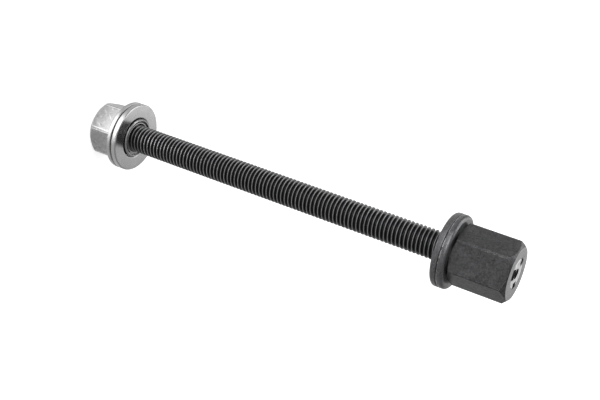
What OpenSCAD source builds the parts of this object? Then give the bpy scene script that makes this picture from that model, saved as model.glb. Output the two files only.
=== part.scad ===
// Control arm bolt: a threaded spindle with a staked hex head, two thick
// washers under it, and a hex nut that turns on a thrust ball bearing.
// It stands on the flat end of its nut. +Z runs up the spindle to the head.

/* [Thread] */
// Major diameter of the spindle's thread
thread_d = 11.85; // [11.5:0.05:12]
// Pitch of the thread
thread_pitch = 1.75; // [1.25:0.25:2]
// Depth of the thread, crest to root
thread_depth = 1.02; // [0.8:0.02:1.1]
// Length of thread between the bearing's face and the washers
grip = 149.6; // [60:0.1:220]
// Chamfer on the free end of the spindle
tip_chamfer = 1.2; // [1.1:0.1:1.6]

/* [Hex] */
// Size across the flats of the head and of the nut
hex_af = 22; // [20:0.5:24]
// Diameter to which the head's corners are turned down
head_corner_d = 25; // [24.9:0.1:25.4]
// Diameter to which the nut's corners are turned down
nut_corner_d = 24.8; // [24.7:0.1:25.4]
// Diameter of the flat face at the outer end of the head and of the nut
end_face_d = 21.2; // [19:0.1:21.6]
// Diameter of the head's face against the washers
seat_face_d = 21.8; // [20:0.1:21.9]
// Angle of the chamfer on the outer ends
end_chamfer_angle = 45; // [30:1:50]
// Angle of the chamfer at the head's seat
seat_chamfer_angle = 30; // [15:1:40]

/* [Head] */
// Height of the head
head_h = 23.5; // [15:0.1:32]
// Diameter of the centre hole in the head end
centre_hole_d = 4.3; // [2:0.1:5]
// Depth of the centre hole
centre_hole_depth = 9; // [3:0.5:14]
// Depth of the stake marks across the spindle and the head
stake_depth = 0.7; // [0.3:0.1:1.2]
// Length of a stake mark along the joint
stake_l = 3.4; // [2:0.1:4]
// Width of a stake mark across the joint
stake_w = 1.7; // [1:0.1:2]
// Directions of the stake marks
stake_angles = [-26, 93, 196];

/* [Washers] */
// Outer diameter of the washers
washer_d = 30; // [26:0.5:36]
// Thickness of the washer towards the grip
front_washer_t = 2.75; // [2:0.05:4]
// Thickness of the washer under the head
back_washer_t = 3.0; // [2:0.1:4]
// Radial clearance of the washers on the thread
washer_clearance = 0.3; // [0.1:0.05:0.5]
// Radius of the washers' outer edges on the open sides
washer_edge_r = 1.6; // [0.5:0.1:1.8]
// Radius of the washers' edges where they meet
washer_joint_r = 0.4; // [0.2:0.1:0.6]

/* [Bearing] */
// Outer diameter of the races
race_d = 30; // [28:0.5:34]
// Thickness of the race that bears on the work
front_race_t = 2.55; // [2.3:0.05:4]
// Thickness of the race on the nut
rear_race_t = 2.2; // [2.1:0.05:4]
// Gap between the rims of the races
race_gap = 0.25; // [0.15:0.05:0.4]
// Radius of the races' outer edges
race_edge_r = 0.6; // [0.2:0.1:0.8]
// Radial gap between the nut's hub and the front race's bore
front_bore_gap = 0.55; // [0.3:0.05:0.8]
// Radial clearance of the rear race on the hub
rear_bore_gap = 0.02; // [0.01:0.01:0.05]
// Diameter of a ball
ball_d = 3; // [2.8:0.1:3.2]
// Number of balls
ball_n = 14; // [8:1:16]
// Running clearance between the balls and their tracks
ball_clearance = 0.03; // [0.02:0.01:0.05]
// Depth of the pocket for the cage in each race
pocket_depth = 0.8; // [0.7:0.05:0.9]
// Width of the rim left round the pocket
pocket_rim = 1.0; // [0.8:0.1:1.4]
// Thickness of the cage
cage_t = 1.1; // [0.8:0.1:1.2]

/* [Nut] */
// Height of the nut's hexagon
nut_h = 12.5; // [9:0.1:18]
// Radial clearance of the nut's bore over the thread's crests
nut_clearance = 0.12; // [0.1:0.01:0.2]
// Outer diameter of the hub through the bearing
hub_d = 16.9; // [16.5:0.1:17]
// How far the hub's rolled lip stands above the bearing
lip_h = 1.0; // [0.6:0.1:1.4]
// Wall of the rolled lip
lip_wall = 0.6; // [0.5:0.05:0.7]
// Outer diameter of the threaded core inside the lip
core_d = 14.2; // [13.8:0.1:14.4]
// How far the core stays below the lip
core_drop = 0.3; // [0.1:0.1:0.5]
// Depth of the ring groove between core and lip
groove_depth = 1.8; // [1:0.1:2.4]

/* [Hidden] */
$fn = 96;
eps = 0.01;
// how far a cutting shape runs past what it cuts
over = 1;

thread_r = thread_d / 2;
root_r = thread_r - thread_depth;
// clearance of the spindle in the head, which is staked to it
head_clearance = 0.02;

// stations along the spindle, from the nut's flat end upwards
z_rear = nut_h;
z_gap = z_rear + rear_race_t;
z_front = z_gap + race_gap;
z_face = z_front + front_race_t;
z_washer = z_face + grip;
z_joint = z_washer + front_washer_t;
z_head = z_joint + back_washer_t;
z_end = z_head + head_h;

// bearing
hub_r = hub_d / 2;
race_r = race_d / 2;
front_bore_r = hub_r + front_bore_gap;
rear_bore_r = hub_r + rear_bore_gap;
ball_z = z_gap + race_gap / 2;
pocket_out_r = race_r - pocket_rim;
pocket_in_r = front_bore_r + pocket_rim;
track_r = (pocket_out_r + pocket_in_r) / 2;
track_groove_r = ball_d / 2 + ball_clearance;
cage_side_gap = 0.3;
cage_ball_gap = 0.1;

// An arc of n + 1 points round c from angle a0 to a1
function arc(c, r, a0, a1, n = 6) =
    [for (i = [0:n]) let (a = a0 + (a1 - a0) * i / n) c + r * [cos(a), sin(a)]];

// A ring's half section with rounded outer edges and broken inner edges
function ring_profile(r_in, r_out, z0, z1, e0, e1, c0 = 0.3, c1 = 0.3) = concat(
    [[r_in, z1 - c1], [r_in, z0 + c0], [r_in + c0, z0]],
    arc([r_out - e0, z0 + e0], e0, -90, 0),
    arc([r_out - e1, z1 - e1], e1, 0, 90),
    [[r_in + c1, z1]]);

// The thread: one ridge for each pitch, with flat crests and roots
crest_w = thread_pitch / 8;
root_w = thread_pitch / 4;
flank_h = (thread_pitch - crest_w - root_w) / 2;
thread_n = floor((z_head - tip_chamfer) / thread_pitch);
thread_z0 = z_head - thread_n * thread_pitch;
tip_r = min(thread_r - tip_chamfer, root_r - 0.1);
function ridge(i) = let (z = thread_z0 + i * thread_pitch)
    [[root_r, z], [root_r, z + root_w], [thread_r, z + root_w + flank_h],
     [thread_r, z + root_w + flank_h + crest_w]];

module threaded_rod() {
    color([0.16, 0.16, 0.17])
    difference() {
        rotate_extrude()
            polygon(concat(
                [[0, 0], [tip_r, 0], [root_r, root_r - tip_r]],
                [for (i = [0:thread_n - 1]) each ridge(i)],
                [[root_r, z_head], [thread_r, z_head + eps], [thread_r, z_end], [0, z_end]]));
        translate([0, 0, z_end - centre_hole_depth])
            cylinder(d = centre_hole_d, h = centre_hole_depth + over);
        translate([0, 0, z_end - centre_hole_depth - centre_hole_d / 4])
            cylinder(d1 = 0, d2 = centre_hole_d, h = centre_hole_d / 4 + eps);
        stake_marks();
    }
}

// Chisel marks that lock the spindle in the head
module stake_marks() {
    for (a = stake_angles)
        rotate([0, 0, a])
            translate([thread_r - stake_w / 3, 0, z_end - stake_depth])
                linear_extrude(stake_depth + over)
                    polygon([[-stake_w / 2, -stake_l / 3], [stake_w / 2, 0],
                             [-stake_w / 2, stake_l / 3]]);
}

// A hexagon with turned corners and a chamfer at each end
module turned_hex(h, corner_d, d0, a0, d1, a1) {
    c = corner_d / 2;
    intersection() {
        cylinder(d = hex_af / cos(30), h = h, $fn = 6);
        rotate_extrude()
            polygon([[0, 0], [d0 / 2, 0], [c, (c - d0 / 2) * tan(a0)],
                     [c, h - (c - d1 / 2) * tan(a1)], [d1 / 2, h], [0, h]]);
    }
}

module hex_head() {
    color([0.2, 0.2, 0.21])
    difference() {
        translate([0, 0, z_head])
            turned_hex(head_h, head_corner_d, seat_face_d, seat_chamfer_angle,
                       end_face_d, end_chamfer_angle);
        translate([0, 0, z_head - over])
            cylinder(r = thread_r + head_clearance, h = head_h + 2 * over);
        stake_marks();
    }
}

module front_washer() {
    color([0.27, 0.27, 0.28])
    rotate_extrude()
        polygon(ring_profile(thread_r + washer_clearance, washer_d / 2, z_washer, z_joint,
                             min(washer_edge_r, front_washer_t - washer_joint_r - 0.1),
                             washer_joint_r));
}

module back_washer() {
    color([0.27, 0.27, 0.28])
    rotate_extrude()
        polygon(ring_profile(thread_r + washer_clearance, washer_d / 2, z_joint, z_head,
                             washer_joint_r,
                             min(washer_edge_r, back_washer_t - washer_joint_r - 0.1)));
}

module bearing_nut() {
    lip_z = z_face + lip_h;
    lip_in_r = hub_r - lip_wall;
    // the rolled lip stays inside the front race's bore
    lip_flare = min(0.3, front_bore_gap / 2);
    core_z = lip_z - core_drop;
    core_r = core_d / 2;
    bore_r = thread_r + nut_clearance;
    edge_break = 0.25;
    core_sink = 0.6;
    end_sink = 0.8;
    color([0.74, 0.75, 0.76])
    difference() {
        union() {
            rotate([0, 0, 30])
                turned_hex(nut_h, nut_corner_d, end_face_d, end_chamfer_angle,
                           nut_corner_d, 0);
            // hub with its rolled lip, and the core inside the lip
            rotate_extrude()
                polygon([[0, nut_h / 2], [hub_r, nut_h / 2], [hub_r, z_face],
                         [hub_r + lip_flare, z_face + lip_h * 0.45],
                         [hub_r + lip_flare - edge_break / 5, z_face + lip_h * 0.65],
                         [lip_in_r + lip_wall * 0.6, lip_z], [lip_in_r + edge_break / 5, lip_z],
                         [lip_in_r, lip_z - edge_break], [lip_in_r, lip_z - groove_depth],
                         [core_r, lip_z - groove_depth], [core_r, core_z - edge_break],
                         [core_r - edge_break, core_z], [0, core_z]]);
        }
        translate([0, 0, -over])
            cylinder(r = bore_r, h = lip_z + 2 * over);
        // countersinks at the two ends of the bore
        translate([0, 0, core_z - core_sink])
            cylinder(r1 = bore_r, r2 = bore_r + core_sink + eps, h = core_sink + eps);
        translate([0, 0, -eps])
            cylinder(r1 = bore_r + end_sink + eps, r2 = bore_r, h = end_sink + eps);
    }
}

// The two races share their track: a pocket for the cage, and a ball groove
module race_hollow() {
    translate([0, 0, ball_z - race_gap / 2 - pocket_depth])
        difference() {
            cylinder(r = pocket_out_r, h = race_gap + 2 * pocket_depth);
            translate([0, 0, -over])
                cylinder(r = pocket_in_r, h = race_gap + 2 * pocket_depth + 2 * over);
        }
    translate([0, 0, ball_z])
        rotate_extrude()
            translate([track_r, 0])
                circle(r = track_groove_r);
}

module rear_race() {
    color([0.78, 0.79, 0.8])
    difference() {
        rotate_extrude()
            polygon(ring_profile(rear_bore_r, race_r, z_rear, z_gap, race_edge_r,
                                 race_edge_r / 2, 0.2, 0.2));
        race_hollow();
    }
}

module front_race() {
    color([0.78, 0.79, 0.8])
    difference() {
        rotate_extrude()
            polygon(ring_profile(front_bore_r, race_r, z_front, z_face, race_edge_r / 2,
                                 race_edge_r, 0.2, 0.4));
        race_hollow();
    }
}

module ball_cage() {
    color([0.72, 0.62, 0.4])
    translate([0, 0, ball_z - cage_t / 2])
        difference() {
            cylinder(r = pocket_out_r - cage_side_gap, h = cage_t);
            translate([0, 0, -over])
                cylinder(r = pocket_in_r + cage_side_gap, h = cage_t + 2 * over);
            for (i = [0:ball_n - 1])
                rotate([0, 0, i * 360 / ball_n])
                    translate([track_r, 0, -over])
                        cylinder(r = ball_d / 2 + cage_ball_gap, h = cage_t + 2 * over);
        }
}

module bearing_balls() {
    color([0.85, 0.86, 0.87])
    for (i = [0:ball_n - 1])
        rotate([0, 0, i * 360 / ball_n])
            translate([track_r, 0, ball_z])
                sphere(d = ball_d, $fn = 32);
}

threaded_rod();
hex_head();
front_washer();
back_washer();
bearing_nut();
rear_race();
front_race();
ball_cage();
bearing_balls();
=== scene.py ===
"""A control arm bolt: a threaded spindle with a staked hex head, two thick washers,
and a hex nut that turns on a thrust bearing, standing on the nut's flat end."""

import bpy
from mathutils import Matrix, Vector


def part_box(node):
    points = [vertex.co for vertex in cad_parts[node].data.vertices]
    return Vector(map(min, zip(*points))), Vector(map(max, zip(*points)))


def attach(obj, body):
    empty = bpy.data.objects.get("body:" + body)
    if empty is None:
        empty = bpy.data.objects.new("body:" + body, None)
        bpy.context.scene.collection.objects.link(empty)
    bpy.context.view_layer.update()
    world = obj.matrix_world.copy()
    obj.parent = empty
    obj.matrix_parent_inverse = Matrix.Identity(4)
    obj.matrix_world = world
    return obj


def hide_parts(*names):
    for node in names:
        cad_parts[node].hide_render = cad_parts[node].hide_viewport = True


bl_info = {
    "name": "Control Arm Bolt",
    "version": (1, 0, 0),
    "blender": (4, 5, 0),
    "location": "View3D > Sidebar > Bolt",
    "description": "Models and finishes the pieces of a control arm bolt on its packed frame",
    "category": "Object",
}

from math import cos, pi, radians, sin, tan

import bmesh
import bpy
from mathutils import Matrix, Vector

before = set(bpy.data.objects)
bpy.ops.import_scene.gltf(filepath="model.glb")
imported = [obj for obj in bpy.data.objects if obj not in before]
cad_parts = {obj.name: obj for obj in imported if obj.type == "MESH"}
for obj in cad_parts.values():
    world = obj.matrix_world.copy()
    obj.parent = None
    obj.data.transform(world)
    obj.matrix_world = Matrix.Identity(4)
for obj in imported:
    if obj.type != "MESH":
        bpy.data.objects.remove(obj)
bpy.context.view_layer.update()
MM = 0.001
# how much of the white background the metal mirrors
MIRRORED = 0.2
# depths of the centre hole's wall and of its pointed end, in millimetres
HOLE_DEPTH = 9.0
HOLE_TIP = 10.1
# how far the chisel marks reach below the end face
STAKE_DEPTH = 1.6
# the chisel marks: angle, distance from the axis, stretch across and along the joint
STAKES = ((-26, 5.2, 2.4, 2.5), (93, 4.0, 3.2, 3.8), (196, 4.8, 2.2, 2.8))
# directions to the lamps from the middle of the bolt, and their power in watts
LAMPS = (("key", (0.5, 0.8, 0.3), 6.5), ("front", (-0.1, 0.9, 0.35), 1.2),
         ("top", (0.6, -0.35, 0.72), 4.5), ("back", (0.25, -0.75, 0.6), 2.3),
         ("rim", (-0.2, -0.97, 0.2), 0.6))
LAMP_SIZE = 0.9
LAMP_DISTANCE = 1.1


# ---------------------------------------------------------------- stations

def low(node, axis=2):
    """Lowest coordinate of a CAD node along an axis, in millimetres."""
    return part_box(node)[0][axis] / MM


def high(node, axis=2):
    """Highest coordinate of a CAD node along an axis, in millimetres."""
    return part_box(node)[1][axis] / MM


Z_REAR = low("rear_race")
Z_GAP = high("rear_race")
Z_FRONT = low("front_race")
Z_FACE = high("front_race")
Z_WASHER = low("front_washer")
Z_JOINT = high("front_washer")
Z_HEAD = high("back_washer")
Z_END = high("hex_head")
Z_LIP = high("bearing_nut")


# ---------------------------------------------------------------- settings

class BoltSizes(bpy.types.PropertyGroup):
    """Sizes of the modelled details, in millimetres"""

    thread_d: bpy.props.FloatProperty(
        name="Thread diameter", description="Diameter over the thread's crests", default=11.85)
    thread_pitch: bpy.props.FloatProperty(
        name="Thread pitch", description="Advance of the thread in one turn", default=1.75)
    thread_depth: bpy.props.FloatProperty(
        name="Thread depth", description="Depth of the thread from crest to root", default=1.02)
    thread_phase: bpy.props.FloatProperty(
        name="Thread phase", description="Height of a crest in the +X direction",
        default=round(Z_FACE + 6.3, 2))
    across_flats: bpy.props.FloatProperty(
        name="Across flats", description="Size of the hexagons across their flats", default=22.0)
    head_corner_d: bpy.props.FloatProperty(
        name="Head corners", description="Diameter of the head's turned corners", default=25.0)
    nut_corner_d: bpy.props.FloatProperty(
        name="Nut corners", description="Diameter of the nut's turned corners", default=24.8)
    end_face_d: bpy.props.FloatProperty(
        name="End face", description="Diameter of the flat at the outer ends", default=21.2)
    seat_face_d: bpy.props.FloatProperty(
        name="Seat face", description="Diameter of the head's face at the washers", default=21.8)
    centre_hole_d: bpy.props.FloatProperty(
        name="Centre hole", description="Diameter of the centre hole in the head end", default=4.3)
    washer_edge_r: bpy.props.FloatProperty(
        name="Washer edge", description="Radius of the washers' open edges", default=1.6)
    race_edge_r: bpy.props.FloatProperty(
        name="Race edge", description="Radius of the races' outer edges", default=0.6)
    hub_d: bpy.props.FloatProperty(
        name="Hub", description="Diameter of the nut's hub through the bearing", default=16.9)
    core_d: bpy.props.FloatProperty(
        name="Core", description="Diameter of the threaded core inside the lip", default=14.2)


class BoltFinishes(bpy.types.PropertyGroup):
    """Colours of the finishes"""

    thread_black: bpy.props.FloatVectorProperty(
        name="Thread black", description="Black oxide on the thread", subtype="COLOR",
        default=(0.064, 0.064, 0.066))
    head_black: bpy.props.FloatVectorProperty(
        name="Head black", description="Black oxide on the head", subtype="COLOR",
        default=(0.058, 0.058, 0.06))
    end_grey: bpy.props.FloatVectorProperty(
        name="End grey", description="Thin oxide on the turned end faces", subtype="COLOR",
        default=(0.215, 0.215, 0.218))
    washer_grey: bpy.props.FloatVectorProperty(
        name="Washer grey", description="Dark oxide on the washers", subtype="COLOR",
        default=(0.11, 0.11, 0.114))
    nut_steel: bpy.props.FloatVectorProperty(
        name="Nut steel", description="Bare milled steel of the nut", subtype="COLOR",
        default=(0.44, 0.44, 0.44))
    race_steel: bpy.props.FloatVectorProperty(
        name="Race steel", description="Polished steel of the races", subtype="COLOR",
        default=(0.46, 0.46, 0.46))
    cage_brass: bpy.props.FloatVectorProperty(
        name="Cage brass", description="Brass of the ball cage", subtype="COLOR",
        default=(0.62, 0.5, 0.28))


def sizes():
    """The size properties of the scene."""
    return bpy.context.scene.bolt_sizes


def finishes():
    """The colour properties of the scene."""
    return bpy.context.scene.bolt_finishes


# ---------------------------------------------------------------- shaping

def filleted(corners, steps=5):
    """A closed outline of (radius, height, fillet) corners, with the fillets drawn as arcs."""
    outline = []
    count = len(corners)
    for i, (r, z, fillet) in enumerate(corners):
        here = Vector((r, z))
        before = Vector(corners[i - 1][:2]) - here
        after = Vector(corners[(i + 1) % count][:2]) - here
        if fillet <= 0:
            outline.append(here)
            continue
        half = before.angle(after) / 2
        reach = min(fillet / tan(half), before.length * 0.49, after.length * 0.49)
        radius = reach * tan(half)
        inwards = (before.normalized() + after.normalized()).normalized()
        centre = here + inwards * (radius / sin(half))
        start = here + before.normalized() * reach - centre
        turn = start.angle_signed(here + after.normalized() * reach - centre)
        for k in range(steps + 1):
            outline.append(centre + Matrix.Rotation(-turn * k / steps, 2) @ start)
    return [(p.x, p.y) for p in outline]


def ordered(bm):
    """The same shape rebuilt in the order of its coordinates.

    Booleans, bevels and dissolves depend on the order of what they are given, and some bmesh
    operators leave an order that varies from run to run.
    """
    verts = sorted(bm.verts, key=lambda v: tuple(v.co))
    place_of = {v: i for i, v in enumerate(verts)}
    faces = []
    for face in bm.faces:
        ring = [place_of[v] for v in face.verts]
        first = ring.index(min(ring))
        faces.append((ring[first:] + ring[:first], face.material_index))
    rebuilt = bmesh.new()
    corners = [rebuilt.verts.new(v.co) for v in verts]
    for ring, material in sorted(faces):
        rebuilt.faces.new([corners[i] for i in ring]).material_index = material
    bm.free()
    rebuilt.normal_update()
    return rebuilt


def lathe(outline, steps=160):
    """A closed outline of (radius, height) in millimetres, turned round the spindle's axis."""
    bm = bmesh.new()
    verts = [bm.verts.new((r * MM, 0, z * MM)) for r, z in outline]
    edges = [bm.edges.new((verts[i - 1], verts[i])) for i in range(len(verts))]
    bmesh.ops.spin(bm, geom=verts + edges, cent=(0, 0, 0), axis=(0, 0, 1), dvec=(0, 0, 0),
                   angle=2 * pi, steps=steps, use_merge=True)
    bmesh.ops.remove_doubles(bm, verts=bm.verts, dist=1e-7)
    bmesh.ops.dissolve_degenerate(bm, edges=bm.edges, dist=1e-7)
    bmesh.ops.recalc_face_normals(bm, faces=bm.faces)
    return ordered(bm)


def verts_of(made):
    """The vertices among what a bmesh operator made."""
    return [g for g in made["geom"] if isinstance(g, bmesh.types.BMVert)]


def hexagon(across_flats, z0, z1, turn):
    """A hexagonal prism with a corner turned by an angle from +X."""
    bm = bmesh.new()
    made = bmesh.ops.create_circle(bm, cap_ends=True, segments=6,
                                   radius=across_flats / 2 / cos(radians(30)) * MM)
    first = max(made["verts"], key=lambda v: v.co.x)
    turn -= Vector(first.co.xy).angle_signed((1, 0))
    bmesh.ops.rotate(bm, verts=bm.verts, cent=(0, 0, 0), matrix=Matrix.Rotation(turn, 3, "Z"))
    bmesh.ops.translate(bm, verts=bm.verts, vec=(0, 0, z0 * MM))
    top = bmesh.ops.extrude_face_region(bm, geom=bm.faces[:])
    bmesh.ops.translate(bm, verts=verts_of(top), vec=(0, 0, (z1 - z0) * MM))
    bmesh.ops.recalc_face_normals(bm, faces=bm.faces)
    return ordered(bm)


def as_object(bm, name):
    """Turns a bmesh into an object of the scene."""
    mesh = bpy.data.meshes.new(name)
    bm.to_mesh(mesh)
    bm.free()
    obj = bpy.data.objects.new(name, mesh)
    bpy.context.scene.collection.objects.link(obj)
    return obj


def cut(bm, tool, operation):
    """The boolean of two shapes as a new bmesh."""
    body, other = as_object(bm, "body"), as_object(ordered(tool), "tool")
    modifier = body.modifiers.new("cut", "BOOLEAN")
    modifier.operation = operation
    modifier.solver = "EXACT"
    modifier.object = other
    bpy.context.view_layer.update()
    shaped = body.evaluated_get(bpy.context.evaluated_depsgraph_get())
    result = bmesh.new()
    result.from_mesh(shaped.data)
    for obj in (body, other):
        bpy.data.meshes.remove(obj.data)
    bmesh.ops.remove_doubles(result, verts=result.verts, dist=1e-6)
    result = ordered(result)
    bmesh.ops.dissolve_limit(result, angle_limit=radians(0.5), verts=result.verts,
                             edges=result.edges, use_dissolve_boundaries=False)
    return ordered(result)


def break_edges(bm, width, sharp=18, segments=2):
    """Rounds the sharp edges and gives the new faces the piece's second material."""
    edges = [e for e in bm.edges if e.is_manifold and e.calc_face_angle(0) > radians(sharp)]
    made = bmesh.ops.bevel(bm, geom=edges, offset=width * MM, offset_type="OFFSET",
                           segments=segments, profile=0.5, affect="EDGES", clamp_overlap=True,
                           material=-1)
    for face in made["faces"]:
        face.material_index = 1
    return bm


def joined(*parts):
    """Several shapes in one bmesh."""
    whole = bmesh.new()
    for bm in parts:
        mesh = bpy.data.meshes.new("part")
        bm.to_mesh(mesh)
        bm.free()
        whole.from_mesh(mesh)
        bpy.data.meshes.remove(mesh)
    return whole


def place(bm, name, body, node, materials, crease=30):
    """Links a finished shape as a piece that stands for its CAD node."""
    bm = ordered(bm)
    for edge in bm.edges:
        edge.smooth = edge.calc_face_angle(0) < radians(crease)
    for face in bm.faces:
        face.smooth = True
    obj = as_object(bm, name)
    for material in materials:
        obj.data.materials.append(material)
    # the flats keep their own normals beside the rounded edges
    flats = obj.modifiers.new("flats", "WEIGHTED_NORMAL")
    flats.keep_sharp = True
    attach(obj, body)
    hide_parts(node)
    return obj


# ---------------------------------------------------------------- finishes

def feed(tree, socket, value):
    """Sets a socket to a number or a colour, or links another node's output to it."""
    if isinstance(value, bpy.types.NodeSocket):
        tree.links.new(value, socket)
    elif socket.type == "RGBA":
        socket.default_value = (*value[:3], 1.0)
    else:
        socket.default_value = value


def maths(tree, operation, *values):
    """The output of a new Math node."""
    node = tree.nodes.new("ShaderNodeMath")
    node.operation = operation
    for socket, value in zip(node.inputs, values):
        feed(tree, socket, value)
    return node.outputs[0]


def sees_white(tree):
    """How much of the white background a ray sees: all for the camera, MIRRORED for metal."""
    path = tree.nodes.new("ShaderNodeLightPath").outputs
    mirrored = maths(tree, "ADD", path["Is Glossy Ray"], path["Is Transmission Ray"])
    return maths(tree, "MULTIPLY_ADD", mirrored, MIRRORED, path["Is Camera Ray"])


class Nodes:
    """A node tree with short calls for what the finishes need."""

    def __init__(self, name):
        self.material = bpy.data.materials.new(name)
        self.material.use_nodes = True
        self.tree = self.material.node_tree
        self.shader = self.tree.nodes["Principled BSDF"]
        self.coords = self.tree.nodes.new("ShaderNodeTexCoord").outputs["Object"]

    def link(self, source, target):
        self.tree.links.new(source, target)

    def add(self, kind, **inputs):
        node = self.tree.nodes.new("ShaderNode" + kind)
        for key, value in inputs.items():
            feed(self.tree, node.inputs[key.replace("_", " ")], value)
        return node

    def stretched(self, scale, turn=(0, 0, 0)):
        node = self.add("Mapping", Vector=self.coords, Scale=scale, Rotation=turn)
        node.vector_type = "TEXTURE"
        return node.outputs["Vector"]

    def noise(self, scale, detail=4.0, roughness=0.55, vector=None, distortion=0.0):
        node = self.add("TexNoise", Vector=vector or self.coords, Scale=scale, Detail=detail,
                        Roughness=roughness, Distortion=distortion)
        return node.outputs["Fac"]

    def ranged(self, value, low_in, high_in, low_out, high_out):
        node = self.add("MapRange", Value=value, From_Min=low_in, From_Max=high_in,
                        To_Min=low_out, To_Max=high_out)
        return node.outputs["Result"]

    def mixed(self, factor, first, second):
        node = self.add("Mix")
        node.data_type = "RGBA"
        # of the Mix node's sockets, 0 is the factor and 6 and 7 are the colours
        for socket, value in zip((0, 6, 7), (factor, first, second)):
            feed(self.tree, node.inputs[socket], value)
        return node.outputs[2]

    def maths(self, operation, *values):
        return maths(self.tree, operation, *values)

    def bump(self, height, strength, distance, normal=None):
        node = self.add("Bump", Height=height, Strength=strength, Distance=distance)
        if normal:
            self.link(normal, node.inputs["Normal"])
        return node.outputs["Normal"]

    def set(self, **inputs):
        for key, value in inputs.items():
            feed(self.tree, self.shader.inputs[key.replace("_", " ")], value)
        return self.material


def scaled(colour, factor):
    """A colour made lighter or darker."""
    return tuple(channel * factor for channel in colour)


def black_oxide(name, colour, rough=0.4, mottle=0.42, speck=0.45, metallic=0.75):
    """Blackened steel: broad dark patches, a mottle, a fine speckle and a few dull rubs."""
    n = Nodes(name)
    cloud = n.noise(420, 6, 0.72)
    grain = n.noise(1500, 4, 0.7)
    rub = n.noise(600, 6, 0.7, n.stretched((1, 1, 2), (0.5, 0.2, 0.7)), 0.8)
    tone = n.mixed(n.ranged(cloud, 0.36, 0.66, 0, 1), scaled(colour, 1 - mottle),
                   scaled(colour, 1 + mottle))
    patch = n.noise(170, 3, 0.6)
    tone = n.mixed(n.ranged(patch, 0.4, 0.62, 0, 0.8), tone, scaled(colour, 1 - mottle))
    tone = n.mixed(n.ranged(grain, 0.38, 0.66, 0, speck), tone, scaled(colour, 2.8))
    tone = n.mixed(n.ranged(rub, 0.58, 0.75, 0, speck), tone, scaled(colour, 2.0))
    return n.set(Base_Color=tone, Metallic=metallic,
                 Roughness=n.ranged(grain, 0.3, 0.7, rough + 0.07, rough - 0.07),
                 Normal=n.bump(grain, 0.25, 0.00012, n.bump(cloud, 0.15, 0.0004)))


def black_thread(name, colour, root, crest):
    """Black oxide with painted shade that darkens the thread's roots, and crests lightened for wear
    and as a painted highlight.
    """
    n = Nodes(name)
    x, y = n.add("SeparateXYZ", Vector=n.coords).outputs[:2]
    radius = n.maths("SQRT", n.maths("MULTIPLY_ADD", y, y, n.maths("MULTIPLY", x, x)))
    height = n.ranged(radius, root * MM, crest * MM, 0, 1)
    grain = n.noise(1700, 4, 0.65)
    # painted shade: the colour darkens from the crests down into the roots
    tone = n.mixed(n.ranged(height, 0.3, 0.95, 0, 1), scaled(colour, 0.3), scaled(colour, 1.4))
    # the crests are lightened for wear and as a painted highlight
    rubbed = n.maths("MULTIPLY", n.ranged(height, 0.88, 0.99, 0, 1),
                     n.ranged(grain, 0.3, 0.6, 0.4, 1))
    tone = n.mixed(rubbed, tone, scaled(colour, 5.4))
    return n.set(Base_Color=tone, Metallic=0.8, Roughness=n.ranged(grain, 0.3, 0.7, 0.36, 0.26),
                 Normal=n.bump(grain, 0.2, 0.0001))


def worn_edge(name, colour, bare=(0.5, 0.5, 0.51), wear=0.5):
    """The broken edges of blackened steel, rubbed through to the metal in places."""
    n = Nodes(name)
    rub = n.noise(900, 4, 0.65)
    nick = n.noise(260, 3, 0.6)
    mask = n.ranged(n.maths("MULTIPLY", rub, nick), 0.36 - 0.2 * wear, 0.4 - 0.2 * wear, 0, 1)
    return n.set(Base_Color=n.mixed(mask, scaled(colour, 0.5), bare), Metallic=0.85,
                 Roughness=0.32, Normal=n.bump(rub, 0.3, 0.0002))


def milled_steel(name, colour, rough=0.3):
    """Bare machined steel: a fine mottle, a few bright scratches and faint lay lines."""
    n = Nodes(name)
    lay = n.noise(1800, 2, 0.5, n.stretched((3, 3, 1)))
    scratch = n.noise(1500, 3, 0.5, n.stretched((1, 1, 9), (0, -0.8, -0.52)), 0.4)
    cloud = n.noise(800, 5, 0.7)
    tone = n.mixed(n.ranged(cloud, 0.35, 0.68, 0, 1), scaled(colour, 0.86), scaled(colour, 1.12))
    tone = n.mixed(n.ranged(scratch, 0.62, 0.67, 0, 0.9), tone, scaled(colour, 1.6))
    return n.set(Base_Color=tone, Metallic=1.0,
                 Roughness=n.ranged(cloud, 0.35, 0.65, rough - 0.05, rough + 0.06),
                 Normal=n.bump(lay, 0.08, 0.00006, n.bump(cloud, 0.14, 0.0001)))


def polished_steel(name, colour, rough=0.24):
    """Ground and polished bearing steel with a faint bloom."""
    n = Nodes(name)
    cloud = n.noise(170, 4)
    fine = n.noise(2200, 2, 0.5)
    tone = n.mixed(n.ranged(cloud, 0.35, 0.7, 0, 1), scaled(colour, 0.95), scaled(colour, 1.05))
    return n.set(Base_Color=tone, Metallic=1.0,
                 Roughness=n.ranged(fine, 0.3, 0.7, rough - 0.01, rough + 0.02),
                 Normal=n.bump(fine, 0.01, 0.00005))


# ---------------------------------------------------------------- operators

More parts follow.
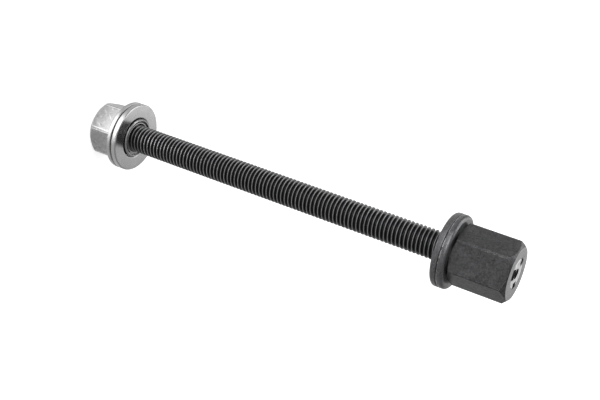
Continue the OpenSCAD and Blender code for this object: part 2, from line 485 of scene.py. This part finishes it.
class BOLT_OT_spindle(bpy.types.Operator):
    """Model the spindle: the rolled thread, and the plain end that is staked in the head"""
    bl_idname = "bolt.spindle"
    bl_label = "Spindle"

    def execute(self, context):
        s, f = sizes(), finishes()
        thread = self.thread(s)
        end = self.plain_end(s)
        for mark in stake_tools():
            end = cut(end, mark, "DIFFERENCE")
        break_edges(end, 0.08, sharp=35)
        # painted shade: faces below the end face, in the centre hole and the chisel marks, take a
        # darker black
        for face in end.faces:
            hollow = face.calc_center_median().z < (Z_END - 0.1) * MM
            face.material_index = 2 if hollow else 1
        crest = s.thread_d / 2
        place(joined(thread, end), "spindle", "spindle", "threaded_rod",
              [black_thread("black_thread", f.thread_black, crest - s.thread_depth, crest),
               black_oxide("spindle_end", scaled(f.end_grey, 2.6), 0.3, 0.3, 0.5),
               black_oxide("painted_shade_black", scaled(f.head_black, 0.45), 0.6)], crease=35)
        return {"FINISHED"}

    def thread(self, s):
        """One pitch of the thread's outline, spun up the spindle as a helix."""
        steps = 56
        chamfer = 1.2
        top = Z_HEAD + 1
        root = s.thread_d / 2 - s.thread_depth
        crest = s.thread_d / 2
        p = s.thread_pitch
        # share of the pitch from the crest's middle, and radius
        shape = [(-0.5, root + 0.02), (-0.44, root), (-0.36, root + 0.05), (-0.105, crest - 0.07),
                 (-0.06, crest), (0.06, crest), (0.105, crest - 0.07), (0.36, root + 0.05),
                 (0.44, root), (0.5, root + 0.02)]
        start = s.thread_phase % p - 2 * p
        bm = bmesh.new()
        verts = [bm.verts.new((r * MM, 0, (start + t * p) * MM)) for t, r in shape]
        edges = [bm.edges.new(pair) for pair in zip(verts, verts[1:])]
        bmesh.ops.spin(bm, geom=verts + edges, cent=(0, 0, 0), axis=(0, 0, 1),
                       dvec=(0, 0, p / steps * MM), angle=2 * pi, steps=steps)
        # one turn is doubled until it reaches the head
        turns = 1
        while start + turns * p < top + p:
            copy = bmesh.ops.duplicate(bm, geom=bm.verts[:] + bm.edges[:] + bm.faces[:])
            bmesh.ops.translate(bm, verts=verts_of(copy), vec=(0, 0, turns * p * MM))
            turns *= 2
        bm = ordered(bm)
        bmesh.ops.remove_doubles(bm, verts=bm.verts, dist=2e-6)
        for height, side in ((0, -1), (top, 1)):
            geom = bm.verts[:] + bm.edges[:] + bm.faces[:]
            bmesh.ops.bisect_plane(bm, geom=geom, dist=1e-7, plane_co=(0, 0, height * MM),
                                   plane_no=(0, 0, side), clear_outer=True)
        # the free end is turned down to a chamfer
        for v in bm.verts:
            ring = v.co.xy.length
            limit = (crest - chamfer + v.co.z / MM) * MM
            if ring > limit:
                v.co.xy *= limit / ring
        bmesh.ops.holes_fill(bm, edges=[e for e in bm.edges if e.is_boundary], sides=0)
        bmesh.ops.triangulate(bm, faces=[face for face in bm.faces if len(face.verts) > 4])
        bmesh.ops.recalc_face_normals(bm, faces=bm.faces)
        return bm

    def plain_end(self, s):
        """The unthreaded end in the head, with the centre hole."""
        r, hole = s.thread_d / 2, s.centre_hole_d / 2
        return lathe(filleted([(0, Z_HEAD + 1, 0), (r, Z_HEAD + 1, 0), (r, Z_END, 0.25),
                               (hole, Z_END, 0.12), (hole, Z_END - HOLE_DEPTH, 0),
                               (0, Z_END - HOLE_TIP, 0)]), 96)


def stake_tools():
    """The chisel marks across the joint of spindle and head."""
    for angle, distance, across, along in STAKES:
        bm = bmesh.new()
        bmesh.ops.create_cone(bm, cap_ends=True, segments=4, radius1=0.5 * MM, radius2=0.9 * MM,
                              depth=2.0 * MM)
        bmesh.ops.rotate(bm, verts=bm.verts, cent=(0, 0, 0), matrix=Matrix.Rotation(pi / 4, 3, "Z"))
        bmesh.ops.scale(bm, verts=bm.verts, vec=(across, along, 1.0))
        # the tool is 2 mm high, so it stands out of the end by what it doesn't cut
        bmesh.ops.translate(bm, verts=bm.verts,
                            vec=(distance * MM, 0, (Z_END - STAKE_DEPTH + 1.0) * MM))
        bmesh.ops.rotate(bm, verts=bm.verts, cent=(0, 0, 0),
                         matrix=Matrix.Rotation(radians(angle), 3, "Z"))
        yield bm


def in_the_marks(face):
    """Whether a face is a wall or a floor that a chisel mark cut below the end face."""
    centre = face.calc_center_median()
    depth = Z_END - centre.z / MM
    return 0.1 < depth < STAKE_DEPTH + 0.1 and centre.xy.length < 8.5 * MM


class BOLT_OT_head(bpy.types.Operator):
    """Model the long hex head with its turned corners, chamfers and stake marks"""
    bl_idname = "bolt.head"
    bl_label = "Hex head"

    def execute(self, context):
        s, f = sizes(), finishes()
        corner, seat, end = s.head_corner_d / 2, s.seat_face_d / 2, s.end_face_d / 2
        bore = s.thread_d / 2 + 0.03
        turned = lathe([(bore, Z_HEAD), (seat, Z_HEAD),
                        (corner, Z_HEAD + (corner - seat) * tan(radians(30))),
                        (corner, Z_END - (corner - end)), (end, Z_END),
                        (bore + 0.12, Z_END), (bore, Z_END - 0.12)], 192)
        head = cut(hexagon(s.across_flats, Z_HEAD - 1, Z_END + 1, 0), turned, "INTERSECT")
        for mark in stake_tools():
            head = cut(head, mark, "DIFFERENCE")
        break_edges(head, 0.18)
        # the faces in the chisel marks take a darker black as painted shade
        for face in head.faces:
            if face.normal.z > 0.99 and face.calc_center_median().z > (Z_END - 0.1) * MM:
                face.material_index = 2
            elif in_the_marks(face):
                face.material_index = 3
        place(head, "head", "spindle", "hex_head",
              [black_oxide("black_steel", f.head_black),
               worn_edge("head_edge", f.head_black, wear=0.58),
               black_oxide("head_end", f.end_grey, 0.34, 0.2, 0.4),
               black_oxide("head_mark_shade", scaled(f.head_black, 0.45), 0.6)])
        return {"FINISHED"}


class BOLT_OT_washers(bpy.types.Operator):
    """Model the two thick washers between the head and the grip"""
    bl_idname = "bolt.washers"
    bl_label = "Washers"

    def execute(self, context):
        s, f = sizes(), finishes()
        bore = s.thread_d / 2 + 0.3
        rim = high("front_washer", 0)
        big, small = s.washer_edge_r, 0.35
        # the back washer's edge at the joint is wider, and its fillet is lightened for wear and as
        # a painted highlight
        joint = 2 * small
        for node, z0, z1, lower, upper in (("front_washer", Z_WASHER, Z_JOINT, big, small),
                                           ("back_washer", Z_JOINT, Z_HEAD, joint, big)):
            ring = lathe(filleted([(bore, z0, 0.3), (rim, z0, lower), (rim, z1, upper),
                                   (bore, z1, 0.3)], 8))
            for face in ring.faces:
                height = face.calc_center_median().z / MM
                if node == "back_washer" and z0 < height < z0 + joint - 0.1:
                    face.material_index = 1
            place(ring, node.replace("washer", "ring"), "spindle", node,
                  [black_oxide(node + "_steel", f.washer_grey, 0.34, 0.25, 0.35, 0.85),
                   worn_edge(node + "_edge", scaled(f.washer_grey, 2.4), wear=0.7)])
        return {"FINISHED"}


class BOLT_OT_nut(bpy.types.Operator):
    """Model the hex nut with its hub, rolled lip and threaded core"""
    bl_idname = "bolt.nut"
    bl_label = "Bearing nut"

    def execute(self, context):
        s, f = sizes(), finishes()
        corner, end = s.nut_corner_d / 2, s.end_face_d / 2
        bore = s.thread_d / 2 + 0.12
        hub, core, lip = s.hub_d / 2, s.core_d / 2, Z_LIP
        turned = lathe([(bore, 0.8), (bore + 0.8, 0), (end, 0), (corner, corner - end),
                        (corner, Z_REAR), (bore, Z_REAR)], 192)
        body = cut(hexagon(s.across_flats, -1, Z_REAR, radians(30)), turned, "INTERSECT")
        break_edges(body, 0.4, segments=4)
        sleeve = lathe(filleted([
            (bore, Z_REAR - 2, 0), (hub, Z_REAR - 2, 0), (hub, Z_FACE - 0.1, 0),
            (hub + 0.27, Z_FACE + 0.5, 0.2), (hub - 0.25, lip, 0.22), (hub - 0.6, lip, 0.15),
            (hub - 0.6, lip - 1.8, 0.1), (core, lip - 1.8, 0.1), (core, lip - 0.3, 0.2),
            (bore + 0.6, lip - 0.3, 0.1), (bore, lip - 0.9, 0)]), 144)
        for face in sleeve.faces:
            face.material_index = 2
        # the rounded edges are painted much lighter than the flats, as a painted highlight along
        # the corners
        place(joined(body, sleeve), "nut", "nut", "bearing_nut",
              [milled_steel("bright_steel", f.nut_steel),
               polished_steel("painted_edge_highlight", scaled(f.nut_steel, 2.1), 0.38),
               polished_steel("hub_steel", scaled(f.nut_steel, 0.75), 0.26)])
        return {"FINISHED"}


class BOLT_OT_bearing(bpy.types.Operator):
    """Model the two races of the thrust bearing, and finish the cage and the balls"""
    bl_idname = "bolt.bearing"
    bl_label = "Thrust bearing"

    def execute(self, context):
        s, f = sizes(), finishes()
        rim = high("front_race", 0)
        hub = s.hub_d / 2
        big, small = s.race_edge_r, s.race_edge_r * 0.75
        # how far the rims stay back from the gap between the races
        relief = 0.25
        # depth of the recess for the cage, and depth and half width of the ball track in it
        recess, groove, half = 0.8, 1.32, 0.9
        for node, body, bore, z0, z1, lower, upper in (
                ("rear_race", "nut", hub + 0.02, Z_REAR, Z_GAP, big, small),
                ("front_race", "race", hub + 0.55, Z_FRONT, Z_FACE, small, big)):
            inner, outer = hub + 1.55, rim - 1.0
            track = (inner + outer) / 2
            if node == "rear_race":
                corners = [(bore, z0, 0.2), (rim, z0, lower), (rim, z1 - relief, upper),
                           (outer, z1, 0.1), (outer, z1 - recess, 0),
                           (track + half, z1 - recess, 0), (track, z1 - groove, 1.5),
                           (track - half, z1 - recess, 0), (inner, z1 - recess, 0),
                           (inner, z1, 0.1), (bore, z1, 0.2)]
            else:
                corners = [(bore, z0, 0.2), (inner, z0, 0.1), (inner, z0 + recess, 0),
                           (track - half, z0 + recess, 0), (track, z0 + groove, 1.5),
                           (track + half, z0 + recess, 0), (outer, z0 + recess, 0),
                           (outer, z0, 0.1), (rim, z0 + relief, lower), (rim, z1, upper),
                           (bore, z1, 0.4)]
            place(lathe(filleted(corners), 192), node.replace("race", "raceway"), body, node,
                  [polished_steel(node + "_steel", f.race_steel)])
        cage = polished_steel("cage_brass", f.cage_brass, 0.3)
        balls = polished_steel("ball_steel", f.race_steel, 0.1)
        for node, material in (("ball_cage", cage), ("bearing_balls", balls)):
            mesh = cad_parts[node].data
            mesh.materials.clear()
            mesh.materials.append(material)
        return {"FINISHED"}


class BOLT_OT_stage(bpy.types.Operator):
    """Set the floor, the soft light and the camera"""
    bl_idname = "bolt.stage"
    bl_label = "Stage"

    def execute(self, context):
        scene = context.scene
        self.floor()
        self.world(scene)
        middle = Vector((0, 0, 0.1))
        for name, towards, power in LAMPS:
            lamp = self.lamp(name, "AREA", power)
            lamp.data.size = LAMP_SIZE
            self.aim(lamp, middle, middle + Vector(towards).normalized() * LAMP_DISTANCE)
        # a card of light on the floor beside the nut, for the steel to mirror
        card = self.lamp("card", "SPOT", 22.0)
        card.data.spot_size = radians(10)
        card.data.spot_blend = 0.7
        card.data.shadow_soft_size = 0.01
        self.aim(card, Vector((0.019, 0.050, 0)), Vector((0.10, 0.20, 0.35)))
        self.camera(scene)
        scene.view_settings.view_transform = "Standard"
        return {"FINISHED"}

    def camera(self, scene):
        """The camera above the nut's side, turned so that the bolt lies across the frame."""
        data = bpy.data.cameras.new("camera")
        camera = bpy.data.objects.new("camera", data)
        scene.collection.objects.link(camera)
        data.sensor_width = 36.0
        data.lens = 64.5
        data.clip_start = 0.01
        right = Vector((0.26894, -0.43964, 0.85697))
        up = Vector((0.95083, -0.02075, -0.30903))
        back = Vector((0.15364, 0.89794, 0.41244))
        eye = Vector((0.06630, 0.39582, 0.28417))
        axes = Matrix((right, up, back)).transposed()
        camera.matrix_world = Matrix.Translation(eye) @ axes.to_4x4()
        scene.camera = camera

    def floor(self):
        """The pale floor that keeps the bolt's shadow."""
        bm = bmesh.new()
        bmesh.ops.create_grid(bm, x_segments=8, y_segments=8, size=12.0)
        floor = as_object(bm, "floor")
        n = Nodes("pale_floor")
        material = n.set(Base_Color=(0.8, 0.8, 0.8, 1), Roughness=0.9)
        glow = n.add("Emission", Color=(1, 1, 1, 1))
        # away from the bolt the lamps fade, and the floor seen by the camera stays white
        away = n.add("VectorMath", Vector=n.coords)
        away.operation = "LENGTH"
        level = n.ranged(away.outputs["Value"], 0.2, 0.9, 0.66, 0.9)
        n.link(n.maths("MULTIPLY", sees_white(n.tree), level), glow.inputs["Strength"])
        both = n.tree.nodes.new("ShaderNodeAddShader")
        n.link(n.shader.outputs[0], both.inputs[0])
        n.link(glow.outputs[0], both.inputs[1])
        n.link(both.outputs[0], n.tree.nodes["Material Output"].inputs["Surface"])
        floor.data.materials.append(material)

    def world(self, scene):
        """A soft grey surround that is seen as white."""
        world = bpy.data.worlds.new("studio")
        world.use_nodes = True
        scene.world = world
        tree = world.node_tree
        surround = tree.nodes["Background"]
        surround.inputs["Color"].default_value = (1, 1, 1, 1)
        surround.inputs["Strength"].default_value = 0.25
        white = tree.nodes.new("ShaderNodeBackground")
        white.inputs["Color"].default_value = (1, 1, 1, 1)
        white.inputs["Strength"].default_value = 1.0
        mix = tree.nodes.new("ShaderNodeMixShader")
        feed(tree, mix.inputs[0], sees_white(tree))
        feed(tree, mix.inputs[1], surround.outputs[0])
        feed(tree, mix.inputs[2], white.outputs[0])
        feed(tree, tree.nodes["World Output"].inputs["Surface"], mix.outputs[0])

    def lamp(self, name, kind, power):
        """A new lamp of a kind and power in watts."""
        data = bpy.data.lights.new(name, kind)
        data.energy = power
        lamp = bpy.data.objects.new(name, data)
        bpy.context.scene.collection.objects.link(lamp)
        return lamp

    def aim(self, lamp, target, stand):
        """Puts a lamp on its stand and turns it to its target."""
        lamp.location = stand
        lamp.rotation_euler = (stand - target).to_track_quat("Z", "Y").to_euler()


class BOLT_PT_panel(bpy.types.Panel):
    """Buttons for the pieces of the bolt"""
    bl_idname = "BOLT_PT_panel"
    bl_label = "Control Arm Bolt"
    bl_space_type = "VIEW_3D"
    bl_region_type = "UI"
    bl_category = "Bolt"

    def draw(self, context):
        for group in (context.scene.bolt_sizes, context.scene.bolt_finishes):
            column = self.layout.column(align=True)
            for name in group.__annotations__:
                column.prop(group, name)
        for operator in STEPS:
            self.layout.operator(operator.bl_idname)


STEPS = (BOLT_OT_stage, BOLT_OT_spindle, BOLT_OT_head, BOLT_OT_washers, BOLT_OT_nut,
         BOLT_OT_bearing)
CLASSES = (BoltSizes, BoltFinishes, *STEPS, BOLT_PT_panel)


def register():
    for cls in CLASSES:
        bpy.utils.register_class(cls)
    bpy.types.Scene.bolt_sizes = bpy.props.PointerProperty(type=BoltSizes)
    bpy.types.Scene.bolt_finishes = bpy.props.PointerProperty(type=BoltFinishes)


def unregister():
    del bpy.types.Scene.bolt_finishes
    del bpy.types.Scene.bolt_sizes
    for cls in reversed(CLASSES):
        bpy.utils.unregister_class(cls)


def main():
    register()
    bpy.ops.bolt.stage()
    bpy.ops.bolt.spindle()
    bpy.ops.bolt.head()
    bpy.ops.bolt.washers()
    bpy.ops.bolt.nut()
    bpy.ops.bolt.bearing()


if __name__ == "__main__":
    main()
